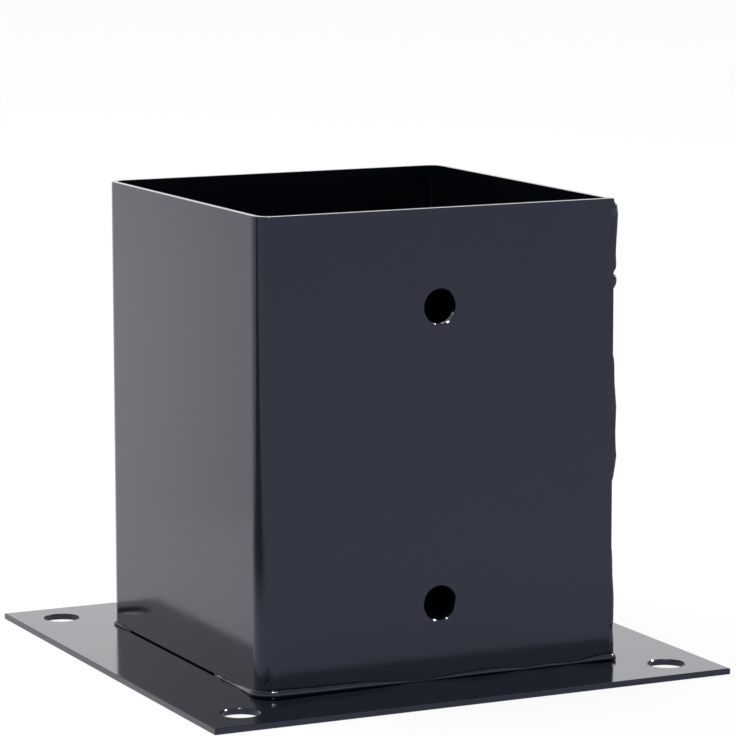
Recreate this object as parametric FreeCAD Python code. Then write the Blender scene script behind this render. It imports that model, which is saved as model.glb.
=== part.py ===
# Welded steel base for a square timber post.
#
# One sheet is folded into an open-topped square sleeve, stitch welded up its one open corner
# and fillet welded to a flat base plate, which anchors hold down to concrete. The post stands
# in the sleeve, held by screws through the front and back walls.
#
# Millimetres, +Z up. The origin is the centre of the plate's underside. The front wall faces
# -Y, and the seam is the upright corner at +X, -Y.
import FreeCAD, Part
import math
import os

# Base plate
PLATE_WIDTH = 180.0
PLATE_THICKNESS = 2.0
ANCHOR_HOLE = 12.0  # diameter
ANCHOR_INSET = 15.0  # from a plate edge to a hole's centre

# Sleeve
SOCKET_WIDTH = 120.0  # clear width inside, for a planed 120 mm post
SLEEVE_HEIGHT = 150.0
SHEET = 2.0  # thickness of the folded sheet
BEND_RADIUS = 4.0  # inside the folds
JOINT_GAP = 0.3  # between the sheet's free edges at the seam
SCREW_HOLE = 11.0  # diameter
LOWER_SCREW_RISE = 24.5  # from the sleeve's foot to the lower hole's centre
UPPER_SCREW_DROP = 31.0  # from the rim to the upper hole's centre
DRAIN_GAP = 0.5  # the side walls clear the plate by this between the foot welds

EDGE_ROUND = 0.3  # radius of the free edges under their coating
HOLE_BEVEL = 0.3  # width of the bevel round a hole's rim

# Foot welds. Each is a round bead laid into the angle between a wall and the plate, so that it
# overhangs its toe. It has its radius at evenly spaced stations along its wall, from left to
# right as seen from in front of that wall. Along the part that turns on to a side wall, it has
# shares of the radius at the corner, from the corner to its end.
FRONT_RADII = (
    1.7, 1.65, 1.5, 1.45, 1.4, 1.3, 1.1, 0.7, 0.3, 0.4, 0.6,
    0.9, 1.05, 1.05, 0.75, 0.5, 0.8, 0.55, 0.65, 1.4, 1.7,
)
BACK_RADII = (1.5, 1.2, 0.9, 1.2, 0.8, 1.1, 1.3, 0.9, 0.7, 1.0, 1.1)
FRONT_RETURN = 36.5  # length along each side wall
BACK_RETURN = 17.0
FRONT_TAPER = (1.0, 0.6, 0.35, 0.2, 0.27, 0.12)
BACK_TAPER = (1.0, 1.0, 0.8, 0.2)
WELD_SETOUT = 0.33  # from the wall to a bead's centre, as a share of its radius
WELD_RISE = 0.6  # from the plate to a bead's centre, likewise
WELD_FLATS = 5  # across a bead's face

# Stitch welds up the seam. Each has the share of the sleeve's height where it starts and ends,
# and its radius at evenly spaced stations on the way up.
SEAM_BEADS = {
    "seam_bead_foot": (0.0, 0.247, (1.5, 1.55, 1.25, 1.5, 1.3, 1.05, 0.95, 0.85)),
    "seam_bead_middle": (0.384, 0.665, (1.4, 2.0, 1.7, 1.65, 1.85, 1.4, 1.15, 1.05)),
    "seam_bead_drop": (0.804, 0.836, (1.6,)),
    "seam_bead_top": (0.841, 0.991, (1.45, 1.3, 1.4, 1.6, 1.8, 1.95, 1.6)),
}
SEAM_SETBACK = 1.3  # from the front wall's face to the beads' centre line
BEAD_FLATS = 16  # round each bead

SLEEVE_WIDTH = SOCKET_WIDTH + 2 * SHEET
HALF_SLEEVE = SLEEVE_WIDTH / 2
HALF_SOCKET = SOCKET_WIDTH / 2
FOLD_RADIUS = BEND_RADIUS + SHEET  # outside the folds
UP = FreeCAD.Vector(0, 0, 1)


def centred_block(width, base, height):
    """A square block on the Z axis."""
    corner = FreeCAD.Vector(-width / 2, -width / 2, base)
    return Part.makeBox(width, width, height, corner)


def is_upright(edge):
    """Whether an edge is a straight line along Z."""
    run = edge.Vertexes[-1].Point - edge.Vertexes[0].Point
    return run.Length > 0 and abs(run.normalize().dot(UP)) > 0.999


def is_seam_corner(edge):
    """Whether an upright edge stands at the corner where the sheet's free edges meet."""
    return edge.CenterOfMass.x > 0 and edge.CenterOfMass.y < 0


def hole_rims(shape, diameter):
    """The circular edges at both ends of every hole of this diameter."""
    loops = [edge for edge in shape.Edges if edge.isClosed() and not edge.Degenerated]
    return [edge for edge in loops if abs(edge.Length / math.pi - diameter) < 0.01]


def base_plate():
    """The square plate with an anchor hole near each corner."""
    plate = centred_block(PLATE_WIDTH, 0, PLATE_THICKNESS)
    level_edges = [edge for edge in plate.Edges if not is_upright(edge)]
    plate = plate.makeFillet(EDGE_ROUND, level_edges)
    reach = PLATE_WIDTH / 2 - ANCHOR_INSET
    for x in (-reach, reach):
        for y in (-reach, reach):
            foot = FreeCAD.Vector(x, y, 0)
            plate = plate.cut(Part.makeCylinder(ANCHOR_HOLE / 2, PLATE_THICKNESS, foot, UP))
    return plate.makeChamfer(HOLE_BEVEL, hole_rims(plate, ANCHOR_HOLE))


def folded_block(width, base, height, fold):
    """A square block whose upright edges are rounded by a fold, apart from the seam's."""
    block = centred_block(width, base, height)
    folds = [edge for edge in block.Edges if is_upright(edge) and not is_seam_corner(edge)]
    return block.makeFillet(fold, folds)


def socket_space():
    """The space inside the sleeve, which the post fills."""
    return folded_block(SOCKET_WIDTH, PLATE_THICKNESS, SLEEVE_HEIGHT, BEND_RADIUS)


def post_sleeve():
    """The folded sheet, with its screw holes, open joint and drain gaps."""
    rim = PLATE_THICKNESS + SLEEVE_HEIGHT
    sleeve = folded_block(SLEEVE_WIDTH, PLATE_THICKNESS, SLEEVE_HEIGHT, FOLD_RADIUS)
    seam_edge = [edge for edge in sleeve.Edges if is_upright(edge) and is_seam_corner(edge)]
    rim_edges = [edge for edge in sleeve.Edges if abs(edge.BoundBox.ZMin - rim) < 0.01]
    sleeve = sleeve.makeFillet(EDGE_ROUND, seam_edge + rim_edges).cut(socket_space())

    for height in (PLATE_THICKNESS + LOWER_SCREW_RISE, rim - UPPER_SCREW_DROP):
        start = FreeCAD.Vector(0, -HALF_SLEEVE, height)
        along = FreeCAD.Vector(0, 1, 0)
        sleeve = sleeve.cut(Part.makeCylinder(SCREW_HOLE / 2, SLEEVE_WIDTH, start, along))
    outer_rims = [
        edge
        for edge in hole_rims(sleeve, SCREW_HOLE)
        if abs(abs(edge.CenterOfMass.y) - HALF_SLEEVE) < 0.01
    ]
    sleeve = sleeve.makeChamfer(HOLE_BEVEL, outer_rims)

    joint_corner = FreeCAD.Vector(HALF_SOCKET, -HALF_SOCKET, PLATE_THICKNESS)
    joint = Part.makeBox(SHEET, JOINT_GAP, SLEEVE_HEIGHT, joint_corner)
    drain_corner = FreeCAD.Vector(-HALF_SLEEVE, FRONT_RETURN - HALF_SLEEVE, PLATE_THICKNESS)
    drain_length = SLEEVE_WIDTH - FRONT_RETURN - BACK_RETURN
    drain = Part.makeBox(SLEEVE_WIDTH, drain_length, DRAIN_GAP, drain_corner)
    return sleeve.cut(joint).cut(drain)


def weld_section(radius, foot, outward):
    """A foot weld's section: a round face, cut off by the wall and by the plate."""
    first = math.acos(-WELD_SETOUT)
    last = -math.asin(WELD_RISE)
    turns = [first + (last - first) * i / WELD_FLATS for i in range(WELD_FLATS + 1)]
    centre = foot + (outward * WELD_SETOUT + UP * WELD_RISE) * radius
    face = [centre + (outward * math.cos(t) + UP * math.sin(t)) * radius for t in turns]
    return Part.makePolygon([foot] + face + [foot])


def weld_run(start, end, outward, radii):
    """A straight length of foot weld whose radius swells and shrinks along the way."""
    step = (end - start) / (len(radii) - 1)
    sections = [weld_section(r, start + step * i, outward) for i, r in enumerate(radii)]
    return Part.makeLoft(sections, True, True)


def weld_turn(centre, corner_radius, radius, outward, angle):
    """The length of foot weld that turns a corner."""
    section = Part.Face(weld_section(radius, centre + outward * corner_radius, outward))
    return section.revolve(centre, UP, angle)


def foot_weld(radii, taper, return_length, left_corner, right_corner):
    """The weld along the foot of the front wall, turned on to both side walls."""
    front = FreeCAD.Vector(0, -1, 0)
    left = FreeCAD.Vector(-1, 0, 0)
    right = FreeCAD.Vector(1, 0, 0)
    back = FreeCAD.Vector(0, 1, 0)
    to_wall = FreeCAD.Vector(0, -HALF_SLEEVE, PLATE_THICKNESS)
    left_end = to_wall + left * (HALF_SLEEVE - left_corner)
    right_end = to_wall + right * (HALF_SLEEVE - right_corner)
    weld = weld_run(left_end, right_end, front, radii)

    for end, side, corner_radius, radius, angle in (
        (left_end, left, left_corner, radii[0], -90),
        (right_end, right, right_corner, radii[-1], 90),
    ):
        centre = end + back * corner_radius
        start = centre + side * corner_radius
        run = back * (return_length - corner_radius)
        return_radii = [radius * share for share in taper]
        weld = weld.fuse(weld_turn(centre, corner_radius, radius, front, angle))
        weld = weld.fuse(weld_run(start, start + run, side, return_radii))
    return weld.removeSplitter()


def front_foot_weld():
    """The weld under the front wall, from the left fold round to the seam's corner."""
    return foot_weld(FRONT_RADII, FRONT_TAPER, FRONT_RETURN, FOLD_RADIUS, EDGE_ROUND)


def back_foot_weld():
    """The weld under the back wall, between two folds."""
    weld = foot_weld(BACK_RADII, BACK_TAPER, BACK_RETURN, FOLD_RADIUS, FOLD_RADIUS)
    return weld.rotate(FreeCAD.Vector(), UP, 180)


def round_end(radius, tip, inward):
    """Stations (radius, height) from the tip of a bead to where it nears its full radius."""
    turns = [math.radians(turn) for turn in (15, 40, 65)]
    return [(radius * math.sin(t), tip + inward * radius * (1 - math.cos(t))) for t in turns]


def bead_ring(radius, height):
    """The section of a seam bead, as a ring of narrow flats."""
    centre = FreeCAD.Vector(HALF_SLEEVE, SEAM_SETBACK - HALF_SLEEVE, height)
    turns = [2 * math.pi * i / BEAD_FLATS for i in range(BEAD_FLATS)]
    rays = [FreeCAD.Vector(math.cos(turn), math.sin(turn), 0) for turn in turns]
    corners = [centre + ray * radius for ray in rays]
    return Part.makePolygon(corners + corners[:1])


def seam_bead(start, end, radii):
    """One stitch weld over the seam, with round ends."""
    low = PLATE_THICKNESS + start * SLEEVE_HEIGHT
    high = PLATE_THICKNESS + end * SLEEVE_HEIGHT
    first = low + radii[0]
    step = (high - radii[-1] - first) / max(len(radii) - 1, 1)
    body = [(radius, first + step * i) for i, radius in enumerate(radii)]
    stations = round_end(radii[0], low, 1) + body + round_end(radii[-1], high, -1)[::-1]
    return Part.makeLoft([bead_ring(*station) for station in stations], True, True)


def main():
    """Build every piece and write it to its own file."""
    pieces = {
        "base_plate": base_plate(),
        "post_sleeve": post_sleeve(),
        "front_foot_weld": front_foot_weld(),
        "back_foot_weld": back_foot_weld(),
    }
    occupied = [pieces["post_sleeve"], pieces["front_foot_weld"], socket_space()]
    for name, (start, end, radii) in SEAM_BEADS.items():
        pieces[name] = seam_bead(start, end, radii).cut(occupied)

    os.makedirs("parts", exist_ok=True)
    for name, shape in pieces.items():
        shape.exportStep("parts/" + name + ".step")


main()
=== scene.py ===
"""A welded steel base for a square timber post, dressed for its studio view.

The base plate and the folded sleeve keep their construction shapes. The foot welds and the
stitch welds up the seam are laid here bead by bead. All share one gloss anthracite powder
coat. Sizes are in metres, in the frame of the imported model: +Z is up and the front wall
faces -Y.
"""
import math

import bpy
from mathutils import Euler, Matrix, Vector


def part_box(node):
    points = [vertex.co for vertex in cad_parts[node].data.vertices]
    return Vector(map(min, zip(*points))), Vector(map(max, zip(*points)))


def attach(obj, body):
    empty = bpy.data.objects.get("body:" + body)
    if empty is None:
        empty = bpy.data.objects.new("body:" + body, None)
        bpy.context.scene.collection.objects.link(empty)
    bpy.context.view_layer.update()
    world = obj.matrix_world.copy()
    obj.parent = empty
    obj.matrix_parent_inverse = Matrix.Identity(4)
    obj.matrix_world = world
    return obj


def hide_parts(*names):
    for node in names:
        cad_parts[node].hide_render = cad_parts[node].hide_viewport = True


MM = 0.001
WHITE = (1, 1, 1, 1)

# Camera
CAMERA_PLACE = (-0.53122, -1.10904, 0.28128)
CAMERA_TURN = math.radians(-25.794)  # about +Z, from looking along +Y
CAMERA_DIP = math.radians(8.699)  # below level
CAMERA_ROLL = math.radians(-0.096)
CAMERA_LENS = 185.677
CAMERA_SENSOR = 36.0
CAMERA_REACH = 200.0

# Floor
FLOOR_WIDTH = 60.0
FLOOR_COLOUR = (0.98, 0.98, 0.98, 1)
FLOOR_GLOW = 0.88  # share of plain white in how the floor looks, over its own shading
MIRRORED_GLOW = 0.6  # the same, as seen in the coat's gloss

# Sky
HORIZON_LIGHT = 1.35
ZENITH_LIGHT = 0.65
HORIZON_TOP = 0.25  # sine of the height where the bright band above the floor ends
ZENITH_FOOT = 0.42  # sine of the height where the dim top begins

# Two small lamps, which only the gloss shows, and a wide soft one, which it doesn't
LAMP_PLACES = ((1.90, -0.08, 1.75), (-0.31, -0.89, 2.45))
LAMP_WIDTH = 0.34
LAMP_WATTS = 60.0
FILL_PLACE = (-0.45, 0.8, 1.6)
FILL_WIDTH = 1.4
FILL_WATTS = 23.0

# Dark cards laid on the floor beside the plate, which only the gloss shows: painted shade in the
# coat's reflections. Each has its middle, length, width, turn in degrees, and darkness
CARDS = (
    ((-1.04, 0.10, 0.0008), 1.80, 0.44, -8, 0.75),
    ((-0.553, 0.939, 0.0009), 1.77, 0.24, 113, 0.16),
    ((1.06, 0.30, 0.0008), 1.70, 1.00, 18, 0.65),
)
CARD_MARGINS = (0.85, 0.4)  # where the soft edge begins, as a share of half the card

# Powder coat. The clouds are pairs of noise scale and detail.
COAT_COLOUR = (0.0015, 0.0020, 0.0035, 1)
COAT_SHEEN_TINT = (0.59, 0.655, 0.92, 1)
COAT_IOR = 1.6
COAT_ROUGHNESS = 0.12
COLOUR_CLOUDS = (60, 3)
COLOUR_LIFT = 1.5  # how many times lighter the palest cloud is
GLOSS_CLOUDS = (90, 2)
GLOSS_SPREAD = 0.2  # share by which the roughness wanders either way
PEEL_CLOUDS = (450, 2)
PEEL_STRENGTH = 0.02
PEEL_DEPTH = 0.5 * MM
SHEET_WAVES = (25, 1)
SHEET_WAVE_HEIGHT = 0.02 * MM
WELD_WAVES = (350, 1)
WELD_WAVE_HEIGHT = 0.03 * MM

# Beads
BEAD_SIDES = 32
RIPPLE_PITCH = 1.6  # mm
RIPPLE_DEPTH = 0.01  # share of the radius
MERGE_DISTANCE = 0.001 * MM
SMOOTH_ANGLE = math.radians(45)

# Foot welds. A bead's centre stands out from the wall and up from the plate by shares of its
# radius. The ends are where it stops on the left and right walls, in mm along Y.
BEAD_SETOUT = 0.33
BEAD_RISE = 0.6
BEAD_STEP = 0.4  # mm
ROOT_DEPTH = 0.1  # mm that a bead bites into the sheet
FOLD_RADIUS = 6.0  # mm, outside the sleeve's folds
SEAM_CORNER_RADIUS = 0.3  # mm
FRONT_ENDS = (-27.5, -25.5)
BACK_ENDS = (-45.0, -45.0)

# Radius in mm at places in mm along the bead, from its left end. The front weld reaches the fold
# at 28.5 mm, the front wall at 38 mm and the seam corner at 156 mm. The back weld reaches its
# folds at 11 mm and 132.4 mm.
FRONT_BEAD = (
    (0, 0.12), (1, 0.35), (2.5, 0.5), (5, 0.6), (8, 0.45), (14, 0.45), (18, 0.6), (22, 0.9),
    (27, 1.15), (33, 1.5), (37, 1.7), (40, 1.7), (43, 1.6), (46, 1.55), (49, 1.4), (52, 1.44),
    (56, 1.44), (60, 1.4), (64, 1.36), (68, 1.24), (72, 1.05), (76, 0.8), (80, 0.52),
    (84, 0.28), (88, 0.14), (92, 0.4), (96, 0.6), (100, 0.82), (104, 0.95), (108, 1.05),
    (112, 1.08), (116, 0.92), (120, 0.66), (124, 0.42), (128, 0.62), (132, 0.76), (136, 0.66),
    (140, 0.48), (144, 0.66), (147, 0.95), (149, 1.2), (151, 1.4), (155, 1.4), (158, 1.3),
    (162, 1.1), (168, 0.8), (176, 0.6), (184, 0.45), (191, 0.3), (192.3, 0.12),
)
BACK_BEAD = (
    (0, 0.12), (1.5, 0.8), (4, 1.4), (12, 1.5), (20, 1.5), (28, 1.2), (38, 0.9), (48, 1.3),
    (60, 0.8), (72, 1.2), (84, 1.4), (96, 0.9), (108, 0.7), (118, 1.0), (128, 0.9),
    (136, 0.75), (142, 0.7), (147, 0.55), (150.5, 0.35), (152.8, 0.1),
)

# Stitch welds up the seam: height in mm above the plate and radius in mm there.
SEAM_SETBACK = 1.3  # mm, from the front wall's face to the beads' centre line
SEAM_STEP = 0.4  # mm
SEAM_LEAN = math.radians(28)
SEAM_BEADS = {
    "seam_bead_foot": (
        (0.4, 1.5), (3, 1.57), (5.8, 1.5), (9.7, 1.22), (12, 1.45), (19.4, 1.55),
        (23.2, 1.33), (27, 1.05), (33, 0.9), (35.6, 0.75), (36.6, 0.4), (37.0, 0.1),
    ),
    "seam_bead_middle": (
        (57.8, 0.2), (58.4, 0.7), (59.8, 1.1), (62.7, 1.62), (65.9, 2.03), (69.5, 1.75),
        (74, 1.61), (78, 1.75), (82.1, 1.86), (87, 1.48), (90.2, 1.2), (96.7, 1.07),
        (98.6, 0.8), (99.4, 0.4), (99.7, 0.1),
    ),
    "seam_bead_drop": (
        (120.7, 0.2), (121.1, 0.95), (121.9, 1.4), (122.9, 1.66), (124.0, 1.5),
        (124.8, 1.2), (125.3, 0.6), (125.5, 0.15),
    ),
    "seam_bead_top": (
        (125.8, 0.2), (126.2, 0.8), (127.0, 1.3), (127.8, 1.5), (131.7, 1.3), (136.5, 1.52),
        (140.4, 1.78), (144.3, 1.97), (147.2, 1.59), (148.0, 1.1), (148.5, 0.6), (148.7, 0.2),
    ),
}


def shader_tree(name):
    """A new material, its nodes and its links, with nothing in it."""
    material = bpy.data.materials.new(name)
    material.use_nodes = True
    tree = material.node_tree
    tree.nodes.clear()
    return material, tree.nodes, tree.links


def noise(nodes, links, place, clouds):
    """Smooth noise over a surface, as a value from 0 to 1."""
    texture = nodes.new("ShaderNodeTexNoise")
    texture.inputs["Scale"].default_value, texture.inputs["Detail"].default_value = clouds
    links.new(place.outputs["Object"], texture.inputs["Vector"])
    return texture.outputs["Fac"]


def coat_material(name, waves, wave_height):
    """Gloss powder coat: faint orange peel, slow waves and a slightly uneven gloss."""
    material, nodes, links = shader_tree(name)
    output = nodes.new("ShaderNodeOutputMaterial")
    shader = nodes.new("ShaderNodeBsdfPrincipled")
    place = nodes.new("ShaderNodeTexCoord")
    shader.inputs["IOR"].default_value = COAT_IOR
    shader.inputs["Specular Tint"].default_value = COAT_SHEEN_TINT

    tint = nodes.new("ShaderNodeMix")
    tint.data_type = "RGBA"
    tint.inputs["A"].default_value = COAT_COLOUR
    tint.inputs["B"].default_value = tuple(c * COLOUR_LIFT for c in COAT_COLOUR[:3]) + (1,)
    links.new(noise(nodes, links, place, COLOUR_CLOUDS), tint.inputs["Factor"])
    links.new(tint.outputs["Result"], shader.inputs["Base Color"])

    gloss = nodes.new("ShaderNodeMapRange")
    gloss.inputs["To Min"].default_value = COAT_ROUGHNESS * (1 - GLOSS_SPREAD)
    gloss.inputs["To Max"].default_value = COAT_ROUGHNESS * (1 + GLOSS_SPREAD)
    links.new(noise(nodes, links, place, GLOSS_CLOUDS), gloss.inputs["Value"])
    links.new(gloss.outputs["Result"], shader.inputs["Roughness"])

    peel = nodes.new("ShaderNodeBump")
    peel.inputs["Strength"].default_value = PEEL_STRENGTH
    peel.inputs["Distance"].default_value = PEEL_DEPTH
    links.new(noise(nodes, links, place, PEEL_CLOUDS), peel.inputs["Height"])
    wave = nodes.new("ShaderNodeBump")
    wave.inputs["Strength"].default_value = 1.0
    wave.inputs["Distance"].default_value = wave_height
    links.new(noise(nodes, links, place, waves), wave.inputs["Height"])
    links.new(peel.outputs["Normal"], wave.inputs["Normal"])
    links.new(wave.outputs["Normal"], shader.inputs["Normal"])
    links.new(shader.outputs["BSDF"], output.inputs["Surface"])
    return material


def dress(obj, material):
    """Give an object one material."""
    obj.data.materials.clear()
    obj.data.materials.append(material)


def swell(stations, place):
    """A bead's radius at a place between its stations."""
    for (near, first), (far, second) in zip(stations, stations[1:]):
        if place <= far:
            share = max(0.0, (place - near) / (far - near))
            return first + (second - first) * share
    return stations[-1][1]


def rippled(stations, place):
    """The radius with the ripples that the weld froze in."""
    turn = 2 * math.pi * place / RIPPLE_PITCH
    return swell(stations, place) * (1 + RIPPLE_DEPTH * math.sin(turn)) * MM


def start_piece(name, radius, centre, tilt):
    """A disc to grow a bead from, in edit mode and selected."""
    bpy.ops.object.select_all(action="DESELECT")
    bpy.ops.mesh.primitive_circle_add(
        vertices=BEAD_SIDES, radius=radius, fill_type="NGON", location=centre, rotation=tilt
    )
    piece = bpy.context.active_object
    piece.name = name
    bpy.ops.object.transform_apply(location=True, rotation=True, scale=True)
    bpy.ops.object.mode_set(mode="EDIT")
    bpy.ops.mesh.select_all(action="SELECT")
    return piece


def trim(point, normal):
    """Cut away what lies behind a plane."""
    bpy.ops.mesh.bisect(plane_co=point, plane_no=normal, clear_inner=True)
    bpy.ops.mesh.select_all(action="SELECT")


def push_on(shift, size, root):
    """Grow the bead by one step and change its size about its root."""
    bpy.ops.mesh.extrude_region_move(TRANSFORM_OT_translate={"value": shift})
    bpy.ops.transform.resize(value=(size, size, size), center_override=root)


def finish_piece(piece, material, node):
    """Merge, smooth and dress a bead, which then stands for its construction solid."""
    bpy.ops.mesh.select_all(action="SELECT")
    bpy.ops.mesh.remove_doubles(threshold=MERGE_DISTANCE)
    bpy.ops.mesh.normals_make_consistent(inside=False)
    bpy.ops.object.mode_set(mode="OBJECT")
    bpy.ops.object.select_all(action="DESELECT")
    piece.select_set(True)
    bpy.context.view_layer.objects.active = piece
    bpy.ops.object.shade_smooth_by_angle(angle=SMOOTH_ANGLE)
    dress(piece, material)
    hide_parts(node)
    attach(piece, "root")


def foot_bead(name, node, ends, corners, stations, material, half_turn):
    """A foot weld, laid round the front of the sleeve and turned half round for the back.

    It runs along the left wall to the corner, along the front wall and back along the right wall.
    """
    left_end, right_end = (end * MM for end in ends)
    left_corner, right_corner = (radius * MM for radius in corners)
    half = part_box("post_sleeve")[1][0]
    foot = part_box("base_plate")[1][2]
    root = Vector((-half, left_end, foot))
    radius = rippled(stations, 0)
    centre = (-half - BEAD_SETOUT * radius, left_end, foot + BEAD_RISE * radius)
    piece = start_piece(name, radius, centre, (math.pi / 2, 0, 0))
    trim((-half + ROOT_DEPTH * MM, 0, 0), (-1, 0, 0))
    trim((0, 0, foot - ROOT_DEPTH * MM), (0, 0, 1))

    # A run has its length and its direction, and a turn its radius and its pivot
    legs = (
        ("run", half - left_corner + left_end, (0, -1, 0)),
        ("turn", left_corner, (-half + left_corner, -half + left_corner, foot)),
        ("run", 2 * half - left_corner - right_corner, (1, 0, 0)),
        ("turn", right_corner, (half - right_corner, -half + right_corner, foot)),
        ("run", right_end + half - right_corner, (0, 1, 0)),
    )
    travelled = 0.0
    for kind, amount, guide in legs:
        length = amount if kind == "run" else amount * math.pi / 2
        steps = max(2, round(length / (BEAD_STEP * MM)))
        for _ in range(steps):
            travelled += length / steps
            new_radius = rippled(stations, travelled / MM)
            size = new_radius / radius
            radius = new_radius
            if kind == "run":
                shift = Vector(guide) * length / steps
                root = root + shift
                push_on(shift, size, root)
            else:
                turn = math.pi / 2 / steps
                bpy.ops.mesh.extrude_region_move()
                bpy.ops.transform.rotate(value=-turn, orient_axis="Z", center_override=guide)
                root = Vector(guide) + Matrix.Rotation(turn, 3, "Z") @ (root - Vector(guide))
                bpy.ops.transform.resize(value=(size, size, size), center_override=root)
    if half_turn:
        bpy.ops.mesh.select_all(action="SELECT")
        bpy.ops.transform.rotate(value=math.pi, orient_axis="Z", center_override=(0, 0, 0))
    finish_piece(piece, material, node)


def seam_bead(node, stations, material):
    """A stitch weld up the seam, leaning out as it is laid so that its ripples are crescents."""
    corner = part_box("post_sleeve")[1][0]
    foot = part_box("base_plate")[1][2]
    place = stations[0][0]
    radius = rippled(stations, place)
    centre = Vector((corner, -corner + SEAM_SETBACK * MM, foot + place * MM))
    piece = start_piece(node + "_coat", radius, centre, (0, 0, 0))
    bpy.ops.transform.rotate(value=SEAM_LEAN, orient_axis="Y", center_override=centre)
    shift = (0, 0, SEAM_STEP * MM)
    while place < stations[-1][0]:
        place += SEAM_STEP
        new_radius = rippled(stations, place)
        centre = centre + Vector(shift)
        push_on(shift, new_radius / radius, centre)
        radius = new_radius
    finish_piece(piece, material, node)


def sky():
    """A plain sky that is brightest near the horizon, and white where the camera sees it."""
    world = bpy.data.worlds.new("studio_sky")
    world.use_nodes = True
    bpy.context.scene.world = world
    nodes = world.node_tree.nodes
    links = world.node_tree.links
    background = nodes["Background"]
    background.inputs["Color"].default_value = WHITE
    where = nodes.new("ShaderNodeTexCoord")
    split = nodes.new("ShaderNodeSeparateXYZ")
    fade = nodes.new("ShaderNodeMapRange")
    fade.inputs["From Min"].default_value = HORIZON_TOP
    fade.inputs["From Max"].default_value = ZENITH_FOOT
    fade.inputs["To Min"].default_value = HORIZON_LIGHT
    fade.inputs["To Max"].default_value = ZENITH_LIGHT
    rays = nodes.new("ShaderNodeLightPath")
    seen = nodes.new("ShaderNodeMix")
    seen.inputs["B"].default_value = 1.0
    links.new(where.outputs["Generated"], split.inputs["Vector"])
    links.new(split.outputs["Z"], fade.inputs["Value"])
    links.new(fade.outputs["Result"], seen.inputs["A"])
    links.new(rays.outputs["Is Camera Ray"], seen.inputs["Factor"])
    links.new(seen.outputs["Result"], background.inputs["Strength"])


def area_lamp(place, width, watts):
    """A lamp that shines straight down."""
    bpy.ops.object.light_add(type="AREA", location=place)
    lamp = bpy.context.active_object
    lamp.data.size = width
    lamp.data.energy = watts
    return lamp


def glint_lamp(place):
    """A small round lamp aimed at the object, which only the gloss shows."""
    lamp = area_lamp(place, LAMP_WIDTH, LAMP_WATTS)
    lamp.data.shape = "DISK"
    lamp.rotation_euler = (-Vector(place)).to_track_quat("-Z", "Y").to_euler()
    lamp.visible_diffuse = False


def card_edges(nodes, links):
    """How much of a card is there: all of its middle, fading to none at its edges."""
    where = nodes.new("ShaderNodeTexCoord")
    split = nodes.new("ShaderNodeSeparateXYZ")
    links.new(where.outputs["Object"], split.inputs["Vector"])
    share = nodes.new("ShaderNodeMath")
    share.operation = "MULTIPLY"
    for slot, axis in enumerate("XY"):
        size = nodes.new("ShaderNodeMath")
        size.operation = "ABSOLUTE"
        edge = nodes.new("ShaderNodeMapRange")
        edge.interpolation_type = "SMOOTHSTEP"
        edge.inputs["From Min"].default_value = 1.0
        edge.inputs["From Max"].default_value = CARD_MARGINS[slot]
        links.new(split.outputs[axis], size.inputs[0])
        links.new(size.outputs["Value"], edge.inputs["Value"])
        links.new(edge.outputs["Result"], share.inputs[slot])
    return share.outputs["Value"]


def shade_card(place, length, width, turn, darkness):
    """A dark card with soft edges that only the gloss sees, painting shade into the reflections
    in the sleeve's walls and folds.
    """
    bpy.ops.object.select_all(action="DESELECT")
    bpy.ops.mesh.primitive_plane_add(size=2, location=place, rotation=(0, 0, math.radians(turn)))
    card = bpy.context.active_object
    card.name = "shade_card"
    card.scale = (length / 2, width / 2, 1)
    card.visible_camera = False
    card.visible_diffuse = False
    card.visible_shadow = False
    # Painted shade: an unlit card that shows only as dark reflections in the coat
    material, nodes, links = shader_tree("painted_reflection_shade")
    output = nodes.new("ShaderNodeOutputMaterial")
    dark = nodes.new("ShaderNodeEmission")
    dark.inputs["Strength"].default_value = 0
    clear = nodes.new("ShaderNodeBsdfTransparent")
    mix = nodes.new("ShaderNodeMixShader")
    depth = nodes.new("ShaderNodeMath")
    depth.operation = "MULTIPLY"
    depth.inputs[1].default_value = darkness
    links.new(card_edges(nodes, links), depth.inputs[0])
    links.new(depth.outputs["Value"], mix.inputs["Fac"])
    links.new(clear.outputs["BSDF"], mix.inputs[1])
    links.new(dark.outputs["Emission"], mix.inputs[2])
    links.new(mix.outputs["Shader"], output.inputs["Surface"])
    dress(card, material)


def floor():
    """A pale floor that keeps the object's shadow and otherwise looks white."""
    bpy.ops.object.select_all(action="DESELECT")
    bpy.ops.mesh.primitive_plane_add(size=FLOOR_WIDTH)
    ground = bpy.context.active_object
    ground.name = "studio_floor"
    material, nodes, links = shader_tree("floor_paper")
    output = nodes.new("ShaderNodeOutputMaterial")
    paper = nodes.new("ShaderNodeBsdfDiffuse")
    paper.inputs["Color"].default_value = FLOOR_COLOUR
    glow = nodes.new("ShaderNodeEmission")
    glow.inputs["Strength"].default_value = 1.0
    rays = nodes.new("ShaderNodeLightPath")
    mirrored = nodes.new("ShaderNodeMath")
    mirrored.operation = "MAXIMUM"
    mirrored_share = nodes.new("ShaderNodeMath")
    mirrored_share.operation = "MULTIPLY"
    mirrored_share.inputs[1].default_value = MIRRORED_GLOW
    share = nodes.new("ShaderNodeMath")
    share.operation = "MULTIPLY_ADD"
    share.inputs[1].default_value = FLOOR_GLOW
    mix = nodes.new("ShaderNodeMixShader")
    links.new(rays.outputs["Is Glossy Ray"], mirrored.inputs[0])
    links.new(rays.outputs["Is Transmission Ray"], mirrored.inputs[1])
    links.new(mirrored.outputs["Value"], mirrored_share.inputs[0])
    links.new(rays.outputs["Is Camera Ray"], share.inputs[0])
    links.new(mirrored_share.outputs["Value"], share.inputs[2])
    links.new(share.outputs["Value"], mix.inputs["Fac"])
    links.new(paper.outputs["BSDF"], mix.inputs[1])
    links.new(glow.outputs["Emission"], mix.inputs[2])
    links.new(mix.outputs["Shader"], output.inputs["Surface"])
    dress(ground, material)


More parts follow.
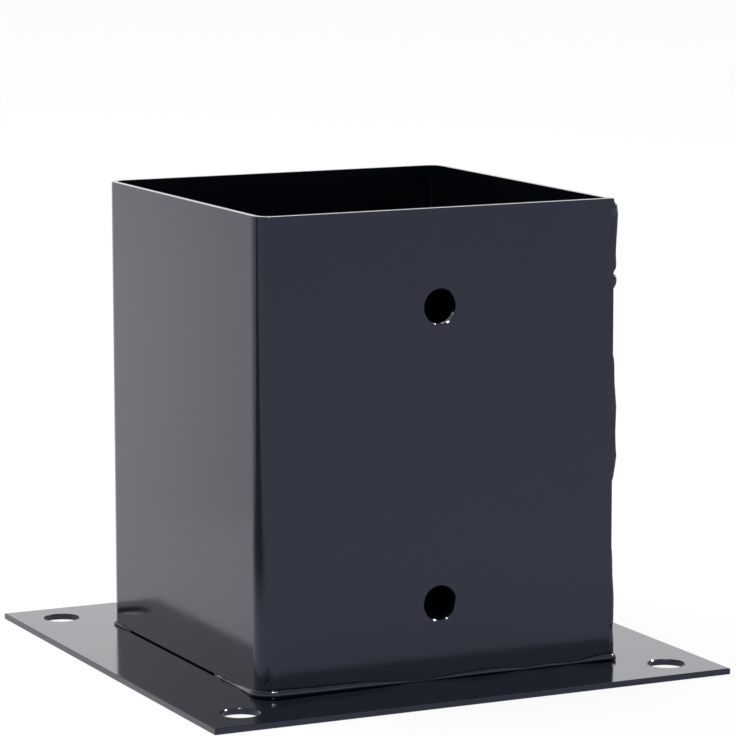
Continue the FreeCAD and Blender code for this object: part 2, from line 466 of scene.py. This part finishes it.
def studio():
    """The sky, the lamps, the dark cards and the floor."""
    sky()
    for place in LAMP_PLACES:
        glint_lamp(place)
    for card in CARDS:
        shade_card(*card)
    fill = area_lamp(FILL_PLACE, FILL_WIDTH, FILL_WATTS)
    fill.visible_glossy = False
    floor()


def camera():
    """The camera, a little above the object and to the left of its front wall."""
    lens = bpy.data.cameras.new("camera")
    lens.sensor_width = CAMERA_SENSOR
    lens.lens = CAMERA_LENS
    lens.clip_end = CAMERA_REACH
    view = bpy.data.objects.new("camera", lens)
    bpy.context.collection.objects.link(view)
    look = Euler((math.pi / 2 - CAMERA_DIP, 0, CAMERA_TURN)).to_matrix()
    view.matrix_world = (
        Matrix.Translation(CAMERA_PLACE)
        @ look.to_4x4()
        @ Matrix.Rotation(CAMERA_ROLL, 4, "Z")
    )
    bpy.context.scene.camera = view


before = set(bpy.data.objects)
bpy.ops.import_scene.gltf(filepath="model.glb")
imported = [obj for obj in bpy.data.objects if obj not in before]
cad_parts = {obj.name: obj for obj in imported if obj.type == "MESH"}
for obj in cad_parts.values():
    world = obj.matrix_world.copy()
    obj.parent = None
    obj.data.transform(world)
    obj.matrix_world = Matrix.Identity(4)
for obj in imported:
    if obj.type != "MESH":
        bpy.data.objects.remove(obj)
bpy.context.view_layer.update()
bpy.context.scene.view_settings.view_transform = "Standard"
camera()

sheet_coat = coat_material("sheet_powder_coat", SHEET_WAVES, SHEET_WAVE_HEIGHT)
weld_coat = coat_material("weld_powder_coat", WELD_WAVES, WELD_WAVE_HEIGHT)
for name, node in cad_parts.items():
    dress(node, sheet_coat if name in ("base_plate", "post_sleeve") else weld_coat)

foot_bead(
    "front_foot_bead", "front_foot_weld", FRONT_ENDS, (FOLD_RADIUS, SEAM_CORNER_RADIUS),
    FRONT_BEAD, weld_coat, False,
)
foot_bead(
    "back_foot_bead", "back_foot_weld", BACK_ENDS, (FOLD_RADIUS, FOLD_RADIUS),
    BACK_BEAD, weld_coat, True,
)
for node, stations in SEAM_BEADS.items():
    seam_bead(node, stations, weld_coat)
studio()
